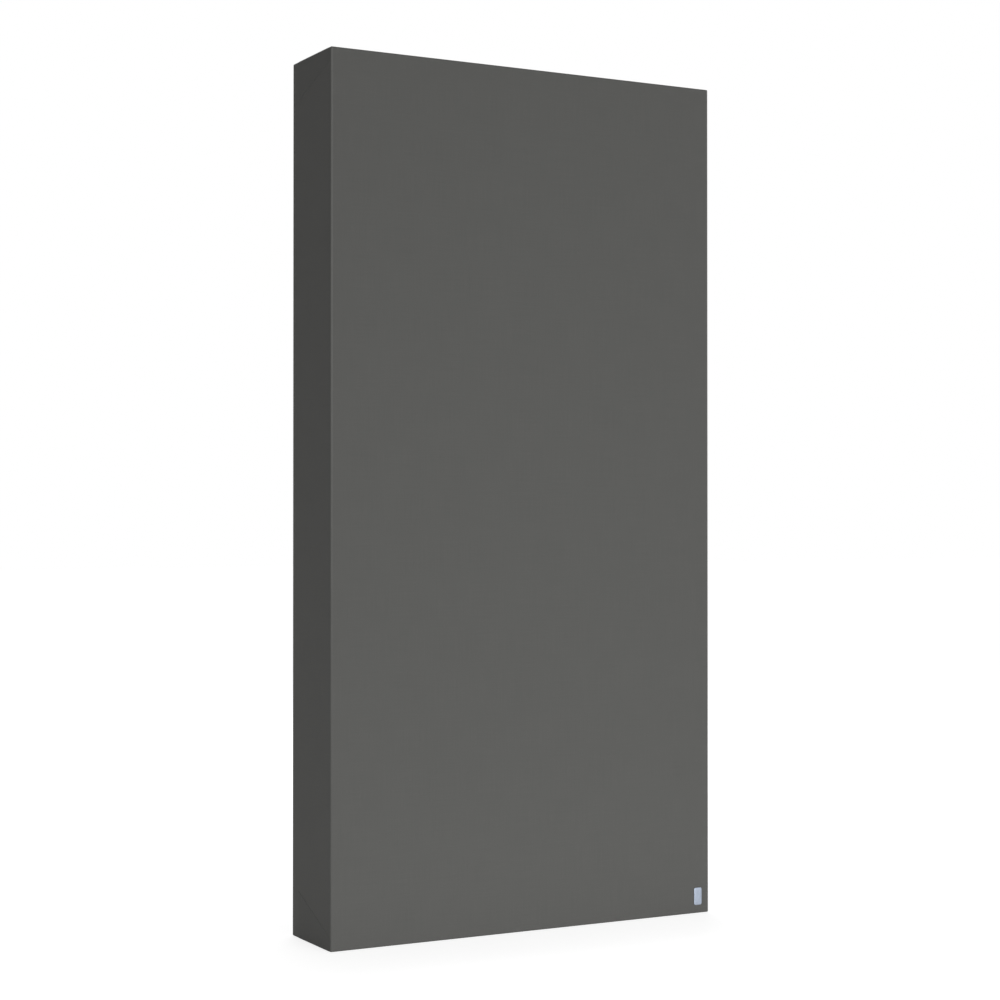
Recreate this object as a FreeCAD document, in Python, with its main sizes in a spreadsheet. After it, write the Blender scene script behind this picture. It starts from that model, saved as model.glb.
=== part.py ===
# A cloth-wrapped acoustic panel: a deep timber frame filled with mineral wool, in a cover of
# thin acoustic cloth that is folded at the corners, turned over the back and closed there.
# Millimetres, +Z up. The origin is on the floor under the middle of the panel, X runs across
# its width, and the cloth face that is meant to be seen looks towards -Y.

import FreeCAD, Part
import math
import os

import Sketcher
from FreeCAD import Placement, Rotation, Vector

DRIVING_SIZES = [
    ("PanelWidth", 600.0, "width over one layer of cloth, without the corner folds"),
    ("PanelHeight", 1200.0, "height over one layer of cloth"),
    ("PanelDepth", 130.0, "from the front cloth's face to the back cloth's face"),
    ("ClothThickness", 0.8, "one layer of the cover cloth"),
    ("FoldThickness", 0.8, "how far a corner fold stands out from the narrow side"),
    ("FoldStart", 16.0, "from the panel's end to the fold's slanted edge, at the front"),
    ("FoldDrop", 57.0, "from the panel's end to the fold's slanted edge, at its rear end"),
    ("FoldDepth", 105.0, "from the front cloth to the fold's upright rear edge"),
    ("HemWidth", 38.0, "how far the cover is turned in over the back"),
    ("BackClothThickness", 0.5, "non-woven cloth that closes the back"),
    ("BackClothMargin", 12.0, "from the panel's edge to the edge of the back cloth"),
    ("NotchClearance", 2.5, "room round a hanger in the edge of the back cloth"),
    ("BoardThickness", 22.0, "timber of the frame"),
    ("LapDepth", 10.0, "how far a rail is let into a stile"),
    ("FrameEase", 1.0, "rounding of the frame's outer edges, under the cloth"),
    ("HangerDrop", 120.0, "from the panel's top to the middle of the keyhole's head"),
    ("HangerWidth", 15.0, "keyhole hanger, across"),
    ("HangerThickness", 2.0, "steel of the keyhole hanger"),
    ("KeyholeRadius", 4.5, "round head of the keyhole, which the wall screw's head enters"),
    ("KeyslotRadius", 2.25, "half the width of the keyhole's slot"),
    ("KeyslotRise", 10.0, "from the middle of the head to the top of the slot's middle line"),
    ("ScrewDrop", 13.0, "from the middle of the keyhole's head down to the lower screw"),
    ("ScrewSpacing", 34.0, "between the hanger's own two screws"),
    ("ScrewHoleRadius", 2.0, "holes for the hanger's own screws"),
    ("SinkRadius", 3.6, "countersink of those holes, at the hanger's face"),
    ("SinkAngle", 90.0, "countersink of those holes, in degrees"),
    ("RecessClearance", 1.0, "room round the keyhole in the hem and the stile behind it"),
    ("RecessDepth", 12.0, "how deep the stile is hollowed behind the keyhole"),
]

# Lengths and places that follow from the driving sizes, as expressions on the sheet.
WRAP_DEPTH = "(Sizes.PanelDepth - Sizes.BackClothThickness)"
FRONT = f"(-({WRAP_DEPTH} + Sizes.HangerThickness) / 2)"
HEM_FACE = f"({FRONT} + {WRAP_DEPTH})"
WRAP_RADIUS = "(Sizes.FrameEase + Sizes.ClothThickness)"
FRAME_WIDTH = "(Sizes.PanelWidth - 2 * Sizes.ClothThickness)"
FRAME_HEIGHT = "(Sizes.PanelHeight - 2 * Sizes.ClothThickness)"
FRAME_DEPTH = f"({WRAP_DEPTH} - 2 * Sizes.ClothThickness)"
FRAME_FRONT = f"({FRONT} + Sizes.ClothThickness)"
HANGER_SIDE = f"({FRAME_WIDTH} / 2 - Sizes.BoardThickness / 2)"
HANGER_LEVEL = "(Sizes.PanelHeight - Sizes.HangerDrop)"
RECESS_RADIUS = "(Sizes.KeyholeRadius + Sizes.RecessClearance)"

ALL_SIDES = ("XMin", "XMax", "YMin", "YMax", "ZMin", "ZMax")
TOUCH = 0.01  # an edge this near a plane lies on it
OVERRUN = 5.0  # how far a cutting shape runs past the surface that it cuts

doc = FreeCAD.newDocument("AcousticPanel")
sheet = doc.addObject("Spreadsheet::Sheet", "Sizes")
for row, (alias, amount, meaning) in enumerate(DRIVING_SIZES, start=1):
    sheet.set(f"A{row}", meaning)
    sheet.set(f"B{row}", str(amount))
    sheet.setAlias(f"B{row}", alias)
doc.recompute()


def size(expression):
    """The present value of an expression on the sheet."""
    return float(sheet.evalExpression(expression))


def put(item, x="0", y="0", z="0"):
    """Places an object by three expressions on the sheet."""
    for axis, expression in zip("xyz", (x, y, z)):
        item.setExpression(f"Placement.Base.{axis}", expression)


def new_body(name):
    return doc.addObject("PartDesign::Body", name)


def body_sketch(body, name, role):
    """A sketch on one of its own body's origin planes."""
    sketch = body.newObject("Sketcher::SketchObject", name)
    plane = next(item for item in body.Origin.OriginFeatures if item.Role == role)
    sketch.AttachmentSupport = [(plane, "")]
    sketch.MapMode = "FlatFace"
    return sketch


def free_sketch(name, turn):
    """A sketch that no body owns, for a cutting shape."""
    sketch = doc.addObject("Sketcher::SketchObject", name)
    sketch.Placement = Placement(Vector(0, 0, 0), turn)
    return sketch


def measure_off(sketch, curve, point, x=None, y=None):
    """Holds a point of a curve at its distances from the sketch's origin."""
    for kind, axis, expression in (("DistanceX", -2, x), ("DistanceY", -1, y)):
        if expression is None:
            continue
        if expression == "0":
            sketch.addConstraint(Sketcher.Constraint("PointOnObject", curve, point, axis))
            continue
        amount = size(expression)
        index = sketch.addConstraint(Sketcher.Constraint(kind, -1, 1, curve, point, amount))
        sketch.setExpression(f"Constraints[{index}]", expression)


def draw_outline(sketch, corners):
    """Straight lines round the corners, each corner held by its two distances."""
    points = [Vector(size(x), size(y), 0) for x, y in corners]
    first = sketch.GeometryCount
    count = len(corners)
    for i in range(count):
        sketch.addGeometry(Part.LineSegment(points[i], points[(i + 1) % count]))
    for i, (x, y) in enumerate(corners):
        after = first + (i + 1) % count
        sketch.addConstraint(Sketcher.Constraint("Coincident", first + i, 2, after, 1))
        measure_off(sketch, first + i, 1, x, y)


def draw_rectangle(sketch, width, height):
    draw_outline(sketch, [("0", "0"), (width, "0"), (width, height), ("0", height)])


def draw_circle(sketch, x, y, radius):
    centre = Vector(size(x), size(y), 0)
    index = sketch.addGeometry(Part.Circle(centre, Vector(0, 0, 1), size(radius)))
    measure_off(sketch, index, 3, x, y)
    limit = sketch.addConstraint(Sketcher.Constraint("Radius", index, size(radius)))
    sketch.setExpression(f"Constraints[{limit}]", radius)


def draw_oblong(sketch, x, low, high, radius):
    """An upright slot: two half circles about (x, low) and (x, high), joined by two lines."""
    mid, bottom, top, r = size(x), size(low), size(high), size(radius)
    lower = Part.Circle(Vector(mid, bottom, 0), Vector(0, 0, 1), r)
    upper = Part.Circle(Vector(mid, top, 0), Vector(0, 0, 1), r)
    foot = sketch.addGeometry(Part.ArcOfCircle(lower, math.pi, 2 * math.pi))
    head = sketch.addGeometry(Part.ArcOfCircle(upper, 0, math.pi))
    right = sketch.addGeometry(Part.LineSegment(Vector(mid + r, bottom, 0), Vector(mid + r, top, 0)))
    left = sketch.addGeometry(Part.LineSegment(Vector(mid - r, top, 0), Vector(mid - r, bottom, 0)))
    for first, its_end, second, its_start in (
        (foot, 2, right, 1),
        (right, 2, head, 1),
        (head, 2, left, 1),
        (left, 2, foot, 1),
    ):
        sketch.addConstraint(Sketcher.Constraint("Tangent", first, its_end, second, its_start))
    sketch.addConstraint(Sketcher.Constraint("Vertical", right))
    sketch.addConstraint(Sketcher.Constraint("Equal", foot, head))
    limit = sketch.addConstraint(Sketcher.Constraint("Radius", foot, r))
    sketch.setExpression(f"Constraints[{limit}]", radius)
    measure_off(sketch, foot, 3, x, low)
    measure_off(sketch, head, 3, None, high)


def pad(body, sketch, length, backwards=False):
    """Pads a sketch along its normal, or backwards, against it."""
    feature = body.newObject("PartDesign::Pad", f"{sketch.Name}_pad")
    feature.Profile = sketch
    feature.setExpression("Length", length)
    feature.Reversed = backwards
    doc.recompute()
    return feature


def pocket(body, sketch, depth, backwards=False):
    """Cuts a sketch into its body against its normal, or backwards, along it."""
    before = body.Shape.Volume
    feature = body.newObject("PartDesign::Pocket", f"{sketch.Name}_pocket")
    feature.Profile = sketch
    feature.setExpression("Length", depth)
    feature.Reversed = backwards
    doc.recompute()
    if body.Shape.Volume >= before:
        raise RuntimeError(f"{feature.Name} cuts nothing")
    return feature


def shared_edges(shape, sides):
    """Names of the edges where two of these sides of the shape's own box meet."""

    def lies_on(edge, side):
        ends = (getattr(edge.BoundBox, side[0] + end) for end in ("Min", "Max"))
        return all(abs(end - getattr(shape.BoundBox, side)) < TOUCH for end in ends)

    return [
        f"Edge{number}"
        for number, edge in enumerate(shape.Edges, start=1)
        if sum(lies_on(edge, side) for side in sides) == 2
    ]


def ease(body, feature, sides, radius):
    """Rounds the edges where the named sides meet."""
    fillet = body.newObject("PartDesign::Fillet", f"{feature.Name}_ease")
    fillet.Base = (feature, shared_edges(feature.Shape, sides))
    fillet.setExpression("Radius", radius)
    doc.recompute()
    return fillet


def rounded_block(name, width, depth, height, radius):
    """A block on the floor with all its edges rounded."""
    body = new_body(name)
    plan = body_sketch(body, f"{name}_plan", "XY_Plane")
    draw_rectangle(plan, width, depth)
    block = pad(body, plan, height)
    ease(body, block, ALL_SIDES, radius)
    return body


def combine(kind, name, base, tool):
    """A boolean of two objects: Part::Cut, Part::Fuse or Part::Common."""
    feature = doc.addObject(kind, name)
    feature.Base = base
    feature.Tool = tool
    feature.Refine = True
    doc.recompute()
    return feature


def draw_recess(sketch, x, low):
    """The room behind a keyhole, the same in the stile and in the hem."""
    draw_oblong(sketch, x, low, f"{low} + Sizes.KeyslotRise", RECESS_RADIUS)


# Timber frame: two full-height stiles with two rails let into their ends, all of one board
# width. A stile's outline is drawn from its outer, lower corner.


def make_stile():
    """The left stile, with a lap for a rail at each end and the recess behind its hanger."""
    body = new_body("frame_left_stile")
    face = body_sketch(body, "stile_outline", "XZ_Plane")
    tongue = "Sizes.BoardThickness - Sizes.LapDepth"
    upper_lap = f"{FRAME_HEIGHT} - Sizes.BoardThickness"
    draw_outline(
        face,
        [
            ("0", "0"),
            (tongue, "0"),
            (tongue, "Sizes.BoardThickness"),
            ("Sizes.BoardThickness", "Sizes.BoardThickness"),
            ("Sizes.BoardThickness", upper_lap),
            (tongue, upper_lap),
            (tongue, FRAME_HEIGHT),
            ("0", FRAME_HEIGHT),
        ],
    )
    board = pad(body, face, FRAME_DEPTH, backwards=True)
    ease(body, board, ("XMin", "YMin", "YMax", "ZMin", "ZMax"), "Sizes.FrameEase")
    recess = body_sketch(body, "stile_recess", "XZ_Plane")
    recess.setExpression("AttachmentOffset.Base.z", f"-{FRAME_DEPTH}")
    draw_recess(recess, "Sizes.BoardThickness / 2", f"{HANGER_LEVEL} - Sizes.ClothThickness")
    pocket(body, recess, "Sizes.RecessDepth", backwards=True)
    put(body, f"-{FRAME_WIDTH} / 2", FRAME_FRONT, "Sizes.ClothThickness")
    return body


def mirror_stile(left):
    """The right stile is the left one's mirror image across the panel's middle plane."""
    mirrored = doc.addObject("Part::Mirroring", "frame_right_stile")
    mirrored.Source = left
    mirrored.Normal = Vector(1, 0, 0)
    doc.recompute()
    return mirrored


def make_rail(name, outer_side, level):
    """A rail from lap to lap, eased along the two edges on the panel's outside."""
    body = new_body(name)
    section = body_sketch(body, f"{name}_section", "YZ_Plane")
    draw_rectangle(section, FRAME_DEPTH, "Sizes.BoardThickness")
    length = f"{FRAME_WIDTH} - 2 * (Sizes.BoardThickness - Sizes.LapDepth)"
    board = pad(body, section, length)
    ease(body, board, ("YMin", "YMax", outer_side), "Sizes.FrameEase")
    put(body, f"-({length}) / 2", FRAME_FRONT, level)
    return body


def make_core():
    """The mineral-wool filling, cut to fit the opening of the frame and as deep as it."""
    body = new_body("absorber_core")
    plan = body_sketch(body, "core_plan", "XY_Plane")
    width = f"({FRAME_WIDTH} - 2 * Sizes.BoardThickness)"
    draw_rectangle(plan, width, FRAME_DEPTH)
    pad(body, plan, f"{FRAME_HEIGHT} - 2 * Sizes.BoardThickness")
    put(body, f"-{width} / 2", FRAME_FRONT, "Sizes.ClothThickness + Sizes.BoardThickness")
    return body


# Cloth cover: one thin wrapped shell, thicker where its corners are folded over the narrow
# sides. Each fold is a patch with a slanted edge that starts close to the end at the front,
# and an upright edge towards the back.


def fold_wedge(name, level):
    """A prism across the panel that takes in the two folds at one end.

    level turns a distance from that end into a height.
    """
    sketch = free_sketch(f"{name}_outline", Rotation(Vector(1, 1, 1), 120))
    before = f"{FRONT} - {OVERRUN}"
    rear = f"{FRONT} + Sizes.FoldDepth"
    draw_outline(
        sketch,
        [
            (before, level(f"-{OVERRUN}")),
            (before, level("Sizes.FoldStart")),
            (FRONT, level("Sizes.FoldStart")),
            (rear, level("Sizes.FoldDrop")),
            (rear, level(f"-{OVERRUN}")),
        ],
    )
    wedge = doc.addObject("Part::Extrusion", name)
    wedge.Base = sketch
    wedge.DirMode = "Normal"
    wedge.Solid = True
    wedge.Symmetric = True
    wedge.setExpression("LengthFwd", f"Sizes.PanelWidth + 2 * Sizes.FoldThickness + {2 * OVERRUN}")
    doc.recompute()
    return wedge


def recess_cutter(name, side):
    """The recess behind one keyhole, carried through the hem."""
    sketch = free_sketch(f"{name}_outline", Rotation(Vector(1, 0, 0), 90))
    sketch.setExpression("Placement.Base.y", f"{HEM_FACE} + Sizes.ClothThickness")
    draw_recess(sketch, f"{side} * {HANGER_SIDE}", HANGER_LEVEL)
    cutter = doc.addObject("Part::Extrusion", name)
    cutter.Base = sketch
    cutter.DirMode = "Normal"
    cutter.Solid = True
    cutter.setExpression("LengthFwd", "3 * Sizes.ClothThickness")
    doc.recompute()
    return cutter


def make_cover():
    wrap = rounded_block("wrap", "Sizes.PanelWidth", WRAP_DEPTH, "Sizes.PanelHeight", WRAP_RADIUS)
    put(wrap, "-Sizes.PanelWidth / 2", FRONT)
    wide = "(Sizes.PanelWidth + 2 * Sizes.FoldThickness)"
    folded = rounded_block("folded_wrap", wide, WRAP_DEPTH, "Sizes.PanelHeight", WRAP_RADIUS)
    put(folded, f"-{wide} / 2", FRONT)
    skin = wrap
    ends = (
        ("lower_folds", lambda distance: distance),
        ("upper_folds", lambda distance: f"Sizes.PanelHeight - ({distance})"),
    )
    for name, level in ends:
        folds = combine("Part::Common", name, folded, fold_wedge(f"{name}_wedge", level))
        skin = combine("Part::Fuse", f"skin_with_{name}", skin, folds)

    cavity = rounded_block("cavity", FRAME_WIDTH, FRAME_DEPTH, FRAME_HEIGHT, "Sizes.FrameEase")
    put(cavity, f"-{FRAME_WIDTH} / 2", FRAME_FRONT, "Sizes.ClothThickness")
    hollow = combine("Part::Cut", "hollow_skin", skin, cavity)

    window = doc.addObject("Part::Box", "hem_window")
    window.setExpression("Length", "Sizes.PanelWidth - 2 * Sizes.HemWidth")
    window.setExpression("Width", "3 * Sizes.ClothThickness")
    window.setExpression("Height", "Sizes.PanelHeight - 2 * Sizes.HemWidth")
    put(
        window,
        "Sizes.HemWidth - Sizes.PanelWidth / 2",
        f"{HEM_FACE} - 2 * Sizes.ClothThickness",
        "Sizes.HemWidth",
    )
    cover = combine("Part::Cut", "open_skin", hollow, window)
    for name, side in (("left_recess", -1), ("right_recess", 1)):
        cover = combine("Part::Cut", f"skin_with_{name}", cover, recess_cutter(name, side))
    cover.Label = "cloth_cover"
    return cover


def make_back_cloth():
    """The non-woven cloth over the hem, notched round each hanger."""
    body = new_body("back_cloth")
    face = body_sketch(body, "back_cloth_outline", "XZ_Plane")
    width = "(Sizes.PanelWidth - 2 * Sizes.BackClothMargin)"
    draw_rectangle(face, width, "Sizes.PanelHeight - 2 * Sizes.BackClothMargin")
    pad(body, face, "Sizes.BackClothThickness", backwards=True)
    notches = body_sketch(body, "back_cloth_notches", "XZ_Plane")
    low = f"{HANGER_LEVEL} - Sizes.BackClothMargin - Sizes.ScrewDrop"
    for side in (-1, 1):
        across = f"{width} / 2 + {side} * {HANGER_SIDE}"
        radius = "Sizes.HangerWidth / 2 + Sizes.NotchClearance"
        draw_oblong(notches, across, low, f"{low} + Sizes.ScrewSpacing", radius)
    pocket(body, notches, "Sizes.BackClothThickness")
    put(body, f"-{width} / 2", HEM_FACE, "Sizes.BackClothMargin")
    return body


def make_hanger(name, side):
    """A steel keyhole hanger: rounded ends about its own two countersunk screws."""
    body = new_body(name)
    outline = body_sketch(body, f"{name}_outline", "XZ_Plane")
    lower = "-Sizes.ScrewDrop"
    upper = "Sizes.ScrewSpacing - Sizes.ScrewDrop"
    draw_oblong(outline, "0", lower, upper, "Sizes.HangerWidth / 2")
    pad(body, outline, "Sizes.HangerThickness")
    head = body_sketch(body, f"{name}_keyhole_head", "XZ_Plane")
    draw_circle(head, "0", "0", "Sizes.KeyholeRadius")
    pocket(body, head, "Sizes.HangerThickness", backwards=True)
    slot = body_sketch(body, f"{name}_keyhole_slot", "XZ_Plane")
    draw_oblong(slot, "0", "0", "Sizes.KeyslotRise", "Sizes.KeyslotRadius")
    pocket(body, slot, "Sizes.HangerThickness", backwards=True)
    screws = body_sketch(body, f"{name}_screw_points", "XZ_Plane")
    draw_circle(screws, "0", lower, "Sizes.ScrewHoleRadius")
    draw_circle(screws, "0", upper, "Sizes.ScrewHoleRadius")
    doc.recompute()
    hole = body.newObject("PartDesign::Hole", f"{name}_screw_holes")
    hole.Profile = screws
    hole.DepthType = "ThroughAll"
    hole.Reversed = True
    hole.setExpression("Diameter", "2 * Sizes.ScrewHoleRadius")
    hole.HoleCutType = "Countersink"
    hole.HoleCutCustomValues = True
    hole.setExpression("HoleCutDiameter", "2 * Sizes.SinkRadius")
    hole.setExpression("HoleCutCountersinkAngle", "Sizes.SinkAngle")
    put(body, f"{side} * {HANGER_SIDE}", f"{HEM_FACE} + Sizes.HangerThickness", HANGER_LEVEL)
    return body


left_stile = make_stile()
pieces = [
    make_cover(),
    left_stile,
    mirror_stile(left_stile),
    make_rail("frame_bottom_rail", "ZMin", "Sizes.ClothThickness"),
    make_rail(
        "frame_top_rail",
        "ZMax",
        "Sizes.PanelHeight - Sizes.ClothThickness - Sizes.BoardThickness",
    ),
    make_core(),
    make_back_cloth(),
    make_hanger("hanger_left", -1),
    make_hanger("hanger_right", 1),
]
doc.recompute()

for item in doc.Objects:
    if {"Invalid", "Error"} & set(item.State):
        raise RuntimeError(f"{item.Name} did not rebuild: {item.State}")
for piece in pieces:
    if piece.Shape.isNull() or not piece.Shape.isValid() or len(piece.Shape.Solids) != 1:
        raise RuntimeError(f"{piece.Label} is not one valid solid")

os.makedirs("parts", exist_ok=True)
for piece in pieces:
    piece.Shape.exportStep(f"parts/{piece.Label}.step")
    box = piece.Shape.BoundBox
    print(
        f"{piece.Label}: {piece.Shape.Volume / 1000:.1f} cm3,"
        f" x {box.XMin:.2f} to {box.XMax:.2f},"
        f" y {box.YMin:.2f} to {box.YMax:.2f},"
        f" z {box.ZMin:.2f} to {box.ZMax:.2f}"
    )
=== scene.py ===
# %% [markdown]
# # A cloth-wrapped acoustic panel
# The panel is a deep timber frame filled with mineral wool. One piece of thin dark grey cloth
# is pulled over its front and turned in over its back, where a black non-woven cloth covers
# the raw hem. The exact solids come from the CAD model. Here each of them gets its finish,
# and the soft pieces, which a solid can only stand in for, are made again as real surfaces.

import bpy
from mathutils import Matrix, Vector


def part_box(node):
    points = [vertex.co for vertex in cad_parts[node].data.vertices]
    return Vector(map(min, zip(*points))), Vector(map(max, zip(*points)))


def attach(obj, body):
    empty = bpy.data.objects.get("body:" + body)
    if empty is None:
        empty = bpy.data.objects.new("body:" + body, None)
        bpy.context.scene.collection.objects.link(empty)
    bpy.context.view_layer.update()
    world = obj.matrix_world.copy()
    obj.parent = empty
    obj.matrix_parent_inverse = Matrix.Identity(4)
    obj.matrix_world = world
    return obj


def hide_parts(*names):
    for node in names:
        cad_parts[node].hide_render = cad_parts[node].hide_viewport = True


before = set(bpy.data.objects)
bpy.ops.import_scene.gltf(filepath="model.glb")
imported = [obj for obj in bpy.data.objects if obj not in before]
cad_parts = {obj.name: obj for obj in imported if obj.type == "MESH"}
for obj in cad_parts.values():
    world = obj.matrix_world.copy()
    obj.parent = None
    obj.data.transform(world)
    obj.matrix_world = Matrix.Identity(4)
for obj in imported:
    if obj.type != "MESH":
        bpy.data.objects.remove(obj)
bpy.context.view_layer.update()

# %% Tools and shared sizes
import math

import bmesh
import bpy
import numpy as np
from mathutils import Vector

wrap_low, wrap_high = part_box("cloth_cover")
hanger_low, hanger_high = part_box("hanger_left")
WIDTH = 0.600
HEIGHT = wrap_high.z - wrap_low.z
FRONT = wrap_low.y
DEPTH = wrap_high.y - wrap_low.y
HEM_FACE = wrap_high.y
HEM = 0.038
BEND = 0.0018
print(f"panel {WIDTH:.3f} x {DEPTH:.4f} x {HEIGHT:.3f} m, front at y = {FRONT:.5f}")

# %% [markdown]
# ## The camera
# Six corners of the panel can be seen in the photograph. Solving for the camera that puts all
# six where they are gives a long lens, a little under half the panel's height above the floor
# and well to the left. A camera could also be turned by eye, but then the two rows of corners
# never meet at the same time.

# %% Camera
LENS = 75.25
NEAR_CORNER = Vector((-WIDTH / 2, FRONT, 0))
EYE_FROM_CORNER = Vector((-1.1191, -2.5396, 0.5747))
AZIMUTH, ELEVATION = math.radians(-28.41), math.radians(-0.48)

camera_data = bpy.data.cameras.new("camera")
camera_data.lens = LENS
camera = bpy.data.objects.new("camera", camera_data)
bpy.context.scene.collection.objects.link(camera)
backwards = Vector(
    (
        math.sin(AZIMUTH) * math.cos(ELEVATION),
        -math.cos(AZIMUTH) * math.cos(ELEVATION),
        math.sin(ELEVATION),
    )
)
camera.location = NEAR_CORNER + EYE_FROM_CORNER
camera.rotation_euler = backwards.to_track_quat("Z", "Y").to_euler()
bpy.context.scene.camera = camera
print("camera at", [round(value, 3) for value in camera.location])

# %% [markdown]
# ## Arithmetic on shader sockets
# A weave is a formula, and a formula is easier to read as one line than as thirty nodes. This
# class wraps an output socket, so that `1 - mask` or `height * 0.5` adds the Math node that
# does it. Every other node comes from its one method `node`.


# %% Shader arithmetic
class Wire:
    """An output socket of a node tree, on which sums can be written as in Python."""

    def __init__(self, tree, socket=None):
        self.tree = tree
        self.socket = socket

    def node(self, kind, settings=None, sockets=None, output=0):
        """Adds a node: first its settings, then the values or links of its sockets."""
        made = self.tree.nodes.new(kind)
        for name, value in (settings or {}).items():
            setattr(made, name, value)
        for name, value in (sockets or {}).items():
            if isinstance(value, Wire):
                self.tree.links.new(value.socket, made.inputs[name])
            else:
                made.inputs[name].default_value = value
        return Wire(self.tree, made.outputs[output] if made.outputs else None)

    def math(self, operation, *values):
        return self.node("ShaderNodeMath", {"operation": operation}, dict(enumerate(values)))

    def __add__(self, other):
        return self.math("ADD", self, other)

    def __sub__(self, other):
        return self.math("SUBTRACT", self, other)

    def __rsub__(self, other):
        return self.math("SUBTRACT", other, self)

    def __mul__(self, other):
        return self.math("MULTIPLY", self, other)

    def __truediv__(self, other):
        return self.math("DIVIDE", self, other)

    def __abs__(self):
        return self.math("ABSOLUTE", self)

    def __pow__(self, other):
        return self.math("POWER", self, other)

    __radd__ = __add__
    __rmul__ = __mul__

    def sine(self):
        return self.math("SINE", self)

    def at_most(self, other):
        return self.math("MINIMUM", self, other)

    def at_least(self, other):
        return self.math("MAXIMUM", self, other)

    def ease(self, low, high):
        """0 below low, 1 above high, and a smooth S between them."""
        return self.node(
            "ShaderNodeMapRange",
            {"interpolation_type": "SMOOTHSTEP"},
            {"Value": self, "From Min": low, "From Max": high},
        )

    def parts(self):
        """The three numbers of a vector."""
        split = self.node("ShaderNodeSeparateXYZ", None, {0: self})
        return [Wire(self.tree, out) for out in split.socket.node.outputs]

    def blend(self, low, high):
        """A colour that goes from low to high as this value goes from 0 to 1."""
        return self.node("ShaderNodeMix", {"data_type": "RGBA"}, {0: self, 6: low, 7: high}, 2)

    def noise(self, scale, detail=2.0, roughness=0.5):
        """Smooth noise from 0 to 1 over this vector."""
        sockets = {"Vector": self, "Scale": scale, "Detail": detail, "Roughness": roughness}
        return self.node("ShaderNodeTexNoise", None, sockets)

    def stretched(self, x, y, z):
        """This vector with its three numbers multiplied."""
        return self.node(
            "ShaderNodeVectorMath", {"operation": "MULTIPLY"}, {0: self, 1: (x, y, z)}
        )

    def relief(self, depth, strength=1.0):
        """The bent normals of a surface that this value, from 0 to 1, lifts by depth metres."""
        return self.node(
            "ShaderNodeBump", None, {"Strength": strength, "Distance": depth, "Height": self}
        )


# %% Material helpers
def new_material(name, **constants):
    """A material and its tree. Plain numbers go straight onto the shader's own sockets."""
    made = bpy.data.materials.new(name)
    made.use_nodes = True
    shader = made.node_tree.nodes["Principled BSDF"]
    for socket, value in constants.items():
        shader.inputs[socket.replace("_", " ")].default_value = value
    return made, Wire(made.node_tree)


def finish_material(tree, **links):
    """Links wires to the material's Principled BSDF."""
    shader = tree.tree.nodes["Principled BSDF"]
    for socket, wire in links.items():
        tree.tree.links.new(wire.socket, shader.inputs[socket.replace("_", " ")])


def tint(colour, factor):
    """A colour made lighter or darker, as the four numbers that a socket takes."""
    return (*(value * factor for value in colour), 1.0)


# %% [markdown]
# ## The cover cloth's weave
# Acoustic cloth is a plain weave of dyed polyester yarn, open enough to let sound through. It
# could be an even grey, but then it looks like card as soon as the camera comes close. So the
# formula lays warp and weft over each other in a checker, about eleven yarns to the
# centimetre. Each yarn is a half round, thicker and thinner along its length. Its colour holds
# painted shade: a yarn is lighter on its crown and darker down its sides, and the gaps between
# yarns are painted dark. The pattern is read from a UV map in metres of the flat cut, so it
# turns with the cloth where a corner is folded.
#
# Two places differ. On the back the hem's mitre leaves a crease, and painted shade makes it
# darker. Along the upright front edges, where the cloth is pulled hard over the timber, a thin
# line is a painted highlight, lighter most of all in the upper half.

# %% Cover cloth
YARN_PITCH = 0.0009
CLOTH_GREY = (0.1020, 0.1020, 0.0974)
MITRE_WIDTH = 0.0007
EDGE_HIGHLIGHT_WIDTH = 0.0036


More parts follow.
